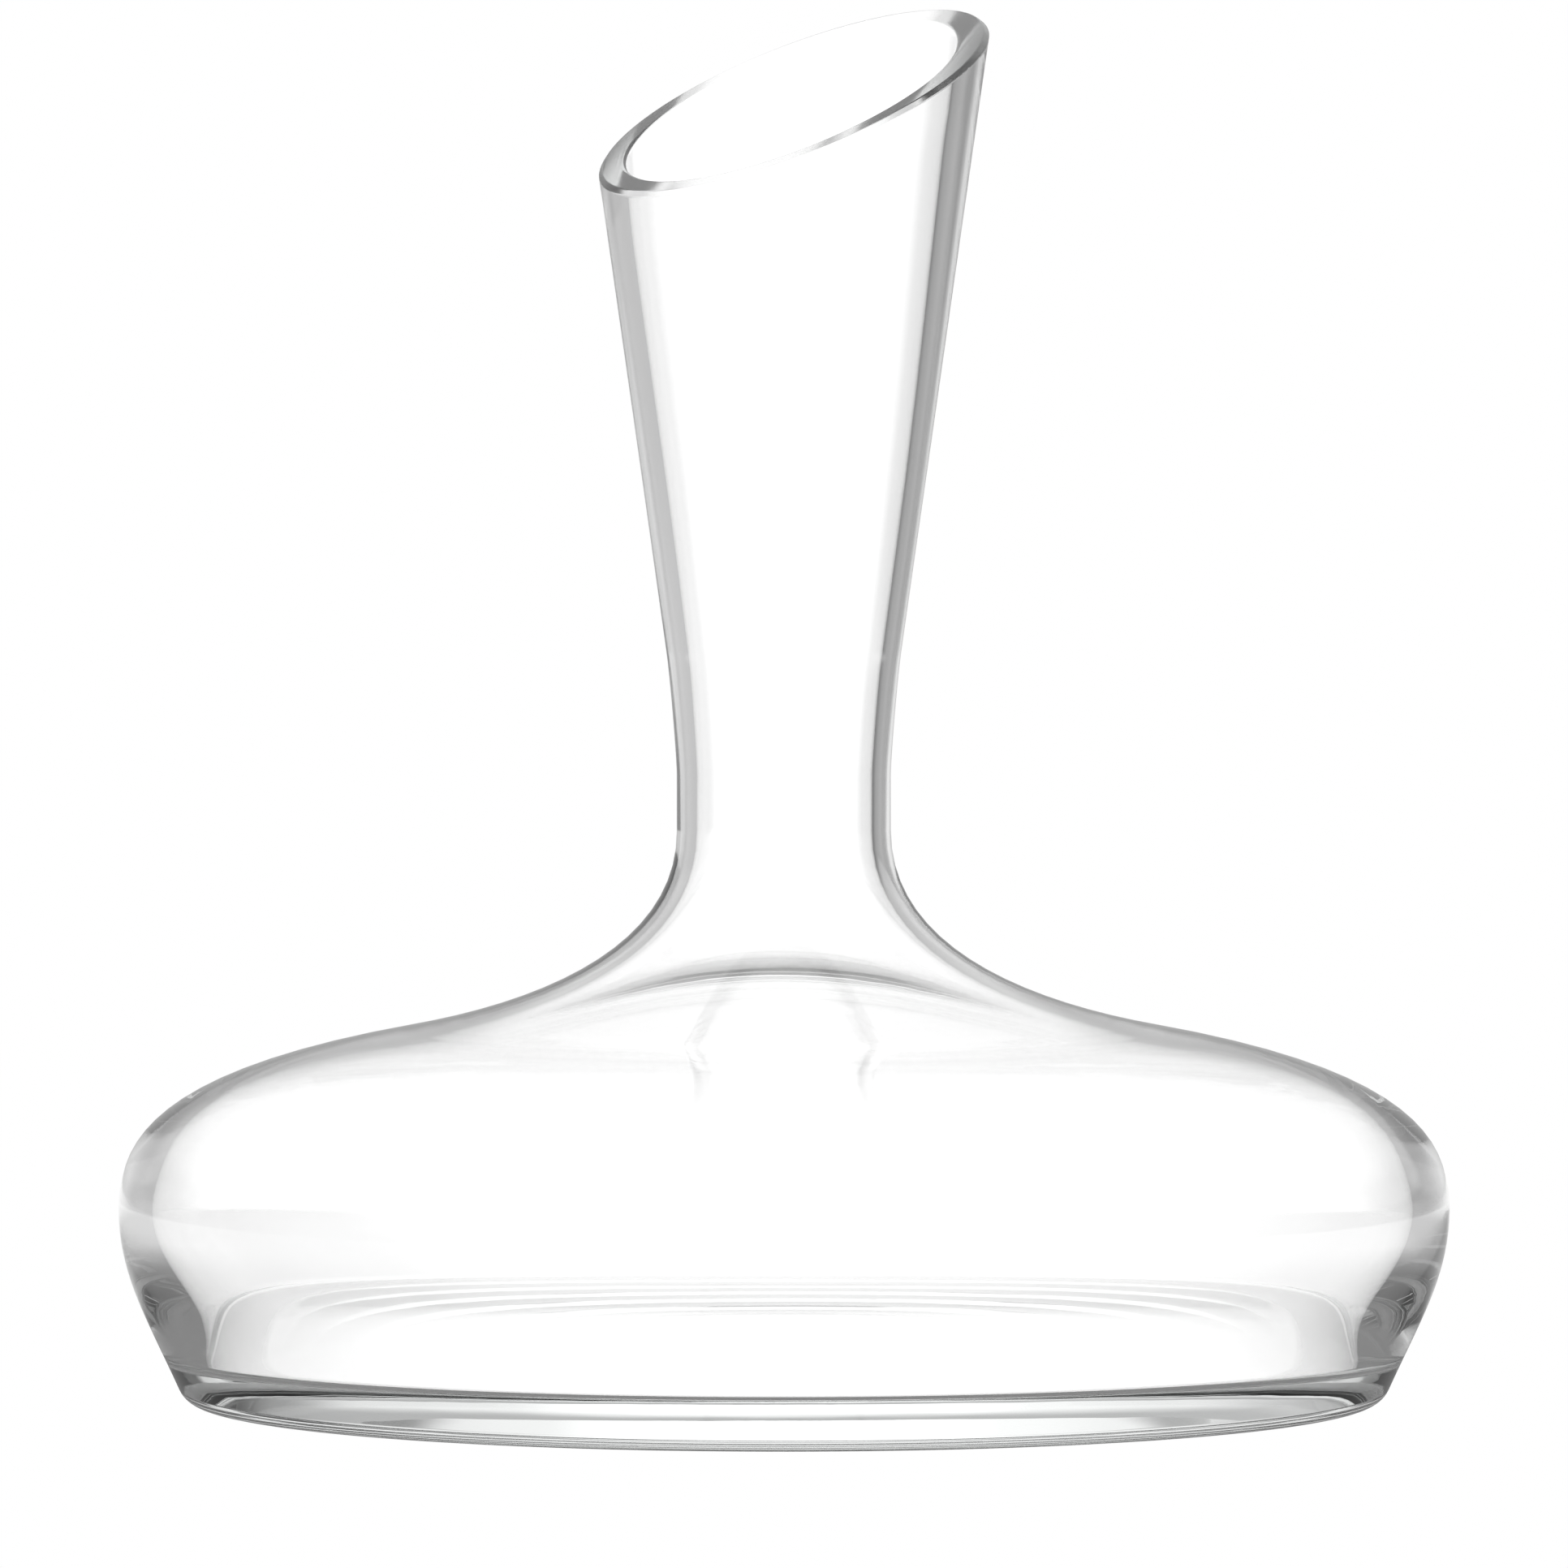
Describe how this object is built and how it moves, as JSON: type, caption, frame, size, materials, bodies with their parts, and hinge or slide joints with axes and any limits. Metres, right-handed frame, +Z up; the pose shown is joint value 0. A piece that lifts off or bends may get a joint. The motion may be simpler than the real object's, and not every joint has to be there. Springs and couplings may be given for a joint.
{
  "type": "wine decanter",
  "caption": "Clear blown-glass wine decanter with a wide low bowl, a narrow throat and a flared neck with a slanted ground mouth.",
  "frame": {"origin": "centre of the base, on the surface that the decanter stands on", "axes": "+Z up along the vessel's axis; -Y is the front; the mouth's high side is turned 42.5 degrees from +X towards +Y"},
  "size_m": [0.24, 0.24, 0.2524],
  "materials": {
    "clear_glass": "fire-polished clear glass, with a ground and polished rim"
  },
  "bodies": {
    "root": {"glass_vessel": "clear_glass"}
  },
  "joints": []
}
